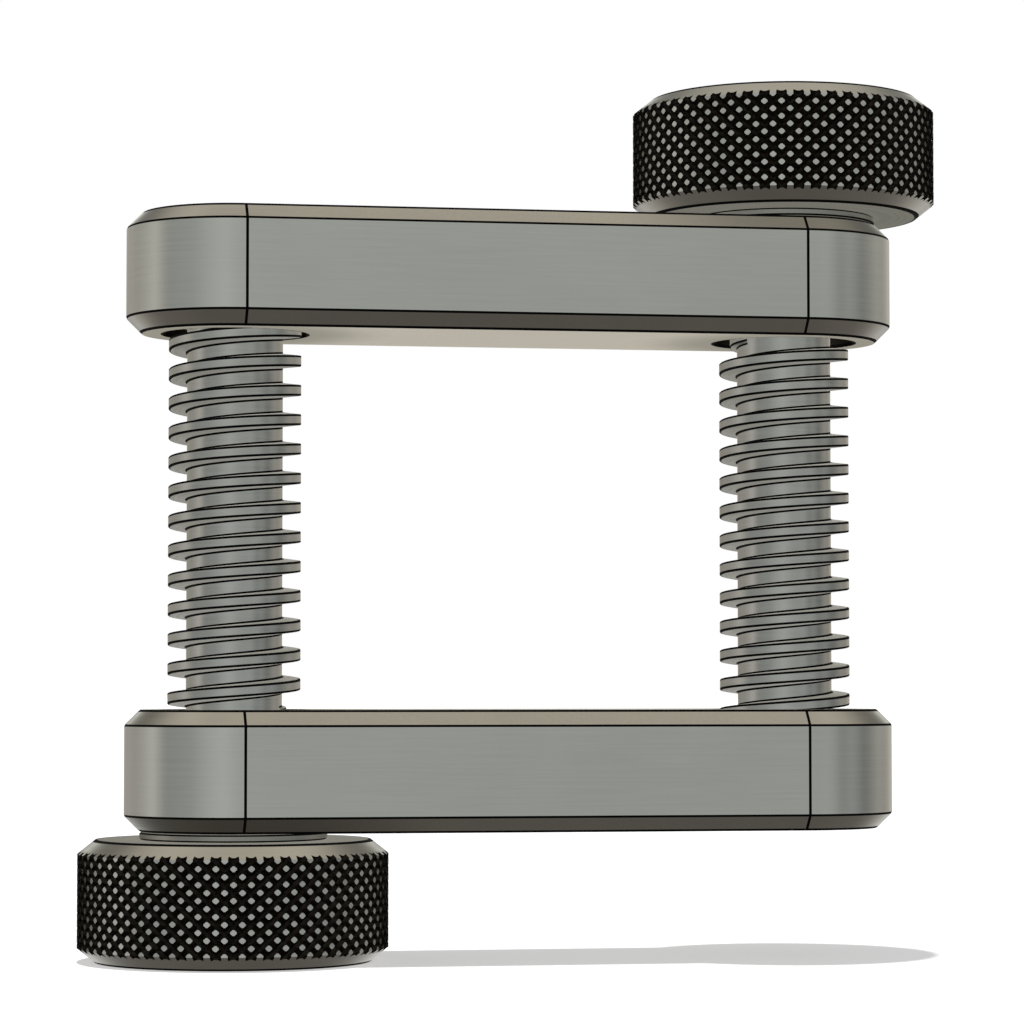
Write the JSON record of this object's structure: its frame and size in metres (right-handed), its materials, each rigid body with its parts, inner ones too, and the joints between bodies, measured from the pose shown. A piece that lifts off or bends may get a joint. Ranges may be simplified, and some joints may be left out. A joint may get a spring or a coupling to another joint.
{
  "type": "two-screw clamp",
  "caption": "Two-screw clamp with round-ended steel jaws, drawn together by two square-thread screws with knurled knobs.",
  "frame": {"origin": "middle of the lower jaw's clamping face, halfway between the two screw axes", "axes": "+X along the jaws from the left screw to the right one, +Z along the screws from the lower jaw to the upper one, +Y across the jaws away from the picture's viewer"},
  "size_m": [0.0594, 0.021, 0.0594],
  "materials": {
    "jaw_steel": "ground and satin-finished steel",
    "screw_steel": "turned steel with a cut square-form thread",
    "washer_steel": "flat ground steel",
    "knob_steel": "turned steel, diamond knurled, dark in the grooves",
    "set_screw_steel": "black oxide"
  },
  "bodies": {
    "lower_jaw": {"lower_jaw": "jaw_steel"},
    "upper_jaw": {"upper_jaw": "jaw_steel"},
    "left_screw": {"left_spindle": "screw_steel", "left_thrust_washer": "washer_steel", "left_knob": "knob_steel", "left_set_screw": "set_screw_steel"},
    "right_screw": {"right_spindle": "screw_steel", "right_thrust_washer": "washer_steel", "right_knob": "knob_steel", "right_set_screw": "set_screw_steel"}
  },
  "joints": [
    {"name": "jaw_slide", "type": "slide", "parent": "lower_jaw", "child": "upper_jaw", "axis": [0, 0, 1], "range_m": [-0.0254, 0.002]},
    {"name": "left_screw_turn", "type": "hinge", "parent": "lower_jaw", "child": "left_screw", "pos_m": [-0.0192, 0, 0], "axis": [0, 0, 1], "range_deg": [-361, 4573]},
    {"name": "right_screw_turn", "type": "hinge", "parent": "upper_jaw", "child": "right_screw", "pos_m": [0.0192, 0, 0.0255], "axis": [0, 0, 1], "range_deg": [-4573, 361]}
  ],
  "couplings": [
    {"joint": "left_screw_turn", "follows": "jaw_slide", "rad_per_m": -3141.6},
    {"joint": "right_screw_turn", "follows": "jaw_slide", "rad_per_m": 3141.6}
  ]
}
